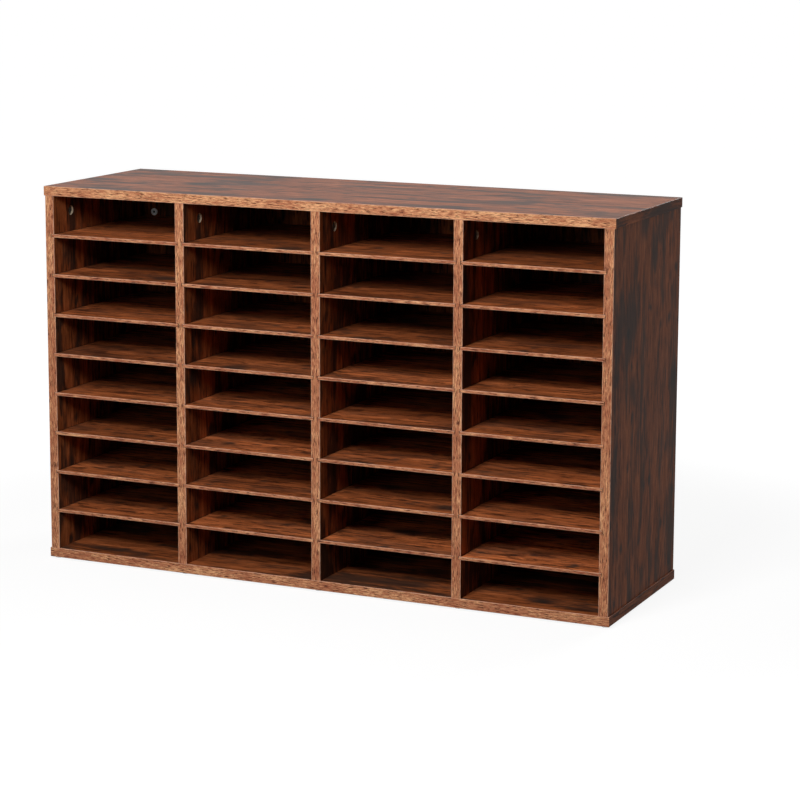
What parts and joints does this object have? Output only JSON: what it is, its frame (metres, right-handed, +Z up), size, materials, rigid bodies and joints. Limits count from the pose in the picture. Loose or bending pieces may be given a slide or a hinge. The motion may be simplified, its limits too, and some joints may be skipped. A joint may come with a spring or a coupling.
{
  "type": "mail sorter",
  "caption": "Open wooden mail sorter with grooved uprights between a top and a bottom board, a thin back and loose shelves that slide out to the front.",
  "frame": {"origin": "on the floor, under the middle of the sorter", "axes": "+X to the right along the width, +Y to the rear along the depth, +Z up"},
  "size_m": [0.95, 0.297, 0.6],
  "materials": {
    "board_laminate": "satin brown rustic wood laminate on particle board",
    "shelf_laminate": "satin brown rustic wood laminate on fibreboard",
    "back_laminate": "satin brown rustic wood laminate on hardboard",
    "edging": "printed wood-grain edging strip, satin",
    "cam_zinc": "die-cast zinc",
    "bolt_steel": "zinc plated",
    "dowel_beech": "plain beech",
    "screw_steel": "zinc plated",
    "foot_clear": "clear soft polyurethane",
    "cap_nut_nickel": "nickel plated"
  },
  "bodies": {
    "carcass": {"top_board": "board_laminate", "bottom_board": "board_laminate", "left_side": "board_laminate", "right_side": "board_laminate", "divider_1": "board_laminate", "divider_2": "board_laminate", "divider_3": "board_laminate", "top_front_edging": "edging", "top_end_edgings": "edging", "bottom_front_edging": "edging", "bottom_end_edgings": "edging", "upright_edgings": "edging", "back_panel": "back_laminate", "cam_locks": "cam_zinc", "cam_bolts": "bolt_steel", "dowels": "dowel_beech", "bottom_screws": "screw_steel", "feet": "foot_clear", "anchor_cap_nuts": "cap_nut_nickel"},
    "shelf_col1_row1": {"shelf_col1_row1": "shelf_laminate"},
    "shelf_col1_row2": {"shelf_col1_row2": "shelf_laminate"},
    "shelf_col1_row3": {"shelf_col1_row3": "shelf_laminate"},
    "shelf_col1_row4": {"shelf_col1_row4": "shelf_laminate"},
    "shelf_col1_row5": {"shelf_col1_row5": "shelf_laminate"},
    "shelf_col1_row6": {"shelf_col1_row6": "shelf_laminate"},
    "shelf_col1_row7": {"shelf_col1_row7": "shelf_laminate"},
    "shelf_col1_row8": {"shelf_col1_row8": "shelf_laminate"},
    "shelf_col2_row1": {"shelf_col2_row1": "shelf_laminate"},
    "shelf_col2_row2": {"shelf_col2_row2": "shelf_laminate"},
    "shelf_col2_row3": {"shelf_col2_row3": "shelf_laminate"},
    "shelf_col2_row4": {"shelf_col2_row4": "shelf_laminate"},
    "shelf_col2_row5": {"shelf_col2_row5": "shelf_laminate"},
    "shelf_col2_row6": {"shelf_col2_row6": "shelf_laminate"},
    "shelf_col2_row7": {"shelf_col2_row7": "shelf_laminate"},
    "shelf_col2_row8": {"shelf_col2_row8": "shelf_laminate"},
    "shelf_col3_row1": {"shelf_col3_row1": "shelf_laminate"},
    "shelf_col3_row2": {"shelf_col3_row2": "shelf_laminate"},
    "shelf_col3_row3": {"shelf_col3_row3": "shelf_laminate"},
    "shelf_col3_row4": {"shelf_col3_row4": "shelf_laminate"},
    "shelf_col3_row5": {"shelf_col3_row5": "shelf_laminate"},
    "shelf_col3_row6": {"shelf_col3_row6": "shelf_laminate"},
    "shelf_col3_row7": {"shelf_col3_row7": "shelf_laminate"},
    "shelf_col3_row8": {"shelf_col3_row8": "shelf_laminate"},
    "shelf_col4_row1": {"shelf_col4_row1": "shelf_laminate"},
    "shelf_col4_row2": {"shelf_col4_row2": "shelf_laminate"},
    "shelf_col4_row3": {"shelf_col4_row3": "shelf_laminate"},
    "shelf_col4_row4": {"shelf_col4_row4": "shelf_laminate"},
    "shelf_col4_row5": {"shelf_col4_row5": "shelf_laminate"},
    "shelf_col4_row6": {"shelf_col4_row6": "shelf_laminate"},
    "shelf_col4_row7": {"shelf_col4_row7": "shelf_laminate"},
    "shelf_col4_row8": {"shelf_col4_row8": "shelf_laminate"}
  },
  "joints": [
    {"name": "slide_col1_row1", "type": "slide", "parent": "carcass", "child": "shelf_col1_row1", "axis": [0, -1, 0], "range_m": [0, 0.258]},
    {"name": "slide_col1_row2", "type": "slide", "parent": "carcass", "child": "shelf_col1_row2", "axis": [0, -1, 0], "range_m": [0, 0.258]},
    {"name": "slide_col1_row3", "type": "slide", "parent": "carcass", "child": "shelf_col1_row3", "axis": [0, -1, 0], "range_m": [0, 0.258]},
    {"name": "slide_col1_row4", "type": "slide", "parent": "carcass", "child": "shelf_col1_row4", "axis": [0, -1, 0], "range_m": [0, 0.258]},
    {"name": "slide_col1_row5", "type": "slide", "parent": "carcass", "child": "shelf_col1_row5", "axis": [0, -1, 0], "range_m": [0, 0.258]},
    {"name": "slide_col1_row6", "type": "slide", "parent": "carcass", "child": "shelf_col1_row6", "axis": [0, -1, 0], "range_m": [0, 0.258]},
    {"name": "slide_col1_row7", "type": "slide", "parent": "carcass", "child": "shelf_col1_row7", "axis": [0, -1, 0], "range_m": [0, 0.258]},
    {"name": "slide_col1_row8", "type": "slide", "parent": "carcass", "child": "shelf_col1_row8", "axis": [0, -1, 0], "range_m": [0, 0.258]},
    {"name": "slide_col2_row1", "type": "slide", "parent": "carcass", "child": "shelf_col2_row1", "axis": [0, -1, 0], "range_m": [0, 0.258]},
    {"name": "slide_col2_row2", "type": "slide", "parent": "carcass", "child": "shelf_col2_row2", "axis": [0, -1, 0], "range_m": [0, 0.258]},
    {"name": "slide_col2_row3", "type": "slide", "parent": "carcass", "child": "shelf_col2_row3", "axis": [0, -1, 0], "range_m": [0, 0.258]},
    {"name": "slide_col2_row4", "type": "slide", "parent": "carcass", "child": "shelf_col2_row4", "axis": [0, -1, 0], "range_m": [0, 0.258]},
    {"name": "slide_col2_row5", "type": "slide", "parent": "carcass", "child": "shelf_col2_row5", "axis": [0, -1, 0], "range_m": [0, 0.258]},
    {"name": "slide_col2_row6", "type": "slide", "parent": "carcass", "child": "shelf_col2_row6", "axis": [0, -1, 0], "range_m": [0, 0.258]},
    {"name": "slide_col2_row7", "type": "slide", "parent": "carcass", "child": "shelf_col2_row7", "axis": [0, -1, 0], "range_m": [0, 0.258]},
    {"name": "slide_col2_row8", "type": "slide", "parent": "carcass", "child": "shelf_col2_row8", "axis": [0, -1, 0], "range_m": [0, 0.258]},
    {"name": "slide_col3_row1", "type": "slide", "parent": "carcass", "child": "shelf_col3_row1", "axis": [0, -1, 0], "range_m": [0, 0.258]},
    {"name": "slide_col3_row2", "type": "slide", "parent": "carcass", "child": "shelf_col3_row2", "axis": [0, -1, 0], "range_m": [0, 0.258]},
    {"name": "slide_col3_row3", "type": "slide", "parent": "carcass", "child": "shelf_col3_row3", "axis": [0, -1, 0], "range_m": [0, 0.258]},
    {"name": "slide_col3_row4", "type": "slide", "parent": "carcass", "child": "shelf_col3_row4", "axis": [0, -1, 0], "range_m": [0, 0.258]},
    {"name": "slide_col3_row5", "type": "slide", "parent": "carcass", "child": "shelf_col3_row5", "axis": [0, -1, 0], "range_m": [0, 0.258]},
    {"name": "slide_col3_row6", "type": "slide", "parent": "carcass", "child": "shelf_col3_row6", "axis": [0, -1, 0], "range_m": [0, 0.258]},
    {"name": "slide_col3_row7", "type": "slide", "parent": "carcass", "child": "shelf_col3_row7", "axis": [0, -1, 0], "range_m": [0, 0.258]},
    {"name": "slide_col3_row8", "type": "slide", "parent": "carcass", "child": "shelf_col3_row8", "axis": [0, -1, 0], "range_m": [0, 0.258]},
    {"name": "slide_col4_row1", "type": "slide", "parent": "carcass", "child": "shelf_col4_row1", "axis": [0, -1, 0], "range_m": [0, 0.258]},
    {"name": "slide_col4_row2", "type": "slide", "parent": "carcass", "child": "shelf_col4_row2", "axis": [0, -1, 0], "range_m": [0, 0.258]},
    {"name": "slide_col4_row3", "type": "slide", "parent": "carcass", "child": "shelf_col4_row3", "axis": [0, -1, 0], "range_m": [0, 0.258]},
    {"name": "slide_col4_row4", "type": "slide", "parent": "carcass", "child": "shelf_col4_row4", "axis": [0, -1, 0], "range_m": [0, 0.258]},
    {"name": "slide_col4_row5", "type": "slide", "parent": "carcass", "child": "shelf_col4_row5", "axis": [0, -1, 0], "range_m": [0, 0.258]},
    {"name": "slide_col4_row6", "type": "slide", "parent": "carcass", "child": "shelf_col4_row6", "axis": [0, -1, 0], "range_m": [0, 0.258]},
    {"name": "slide_col4_row7", "type": "slide", "parent": "carcass", "child": "shelf_col4_row7", "axis": [0, -1, 0], "range_m": [0, 0.258]},
    {"name": "slide_col4_row8", "type": "slide", "parent": "carcass", "child": "shelf_col4_row8", "axis": [0, -1, 0], "range_m": [0, 0.258]}
  ]
}
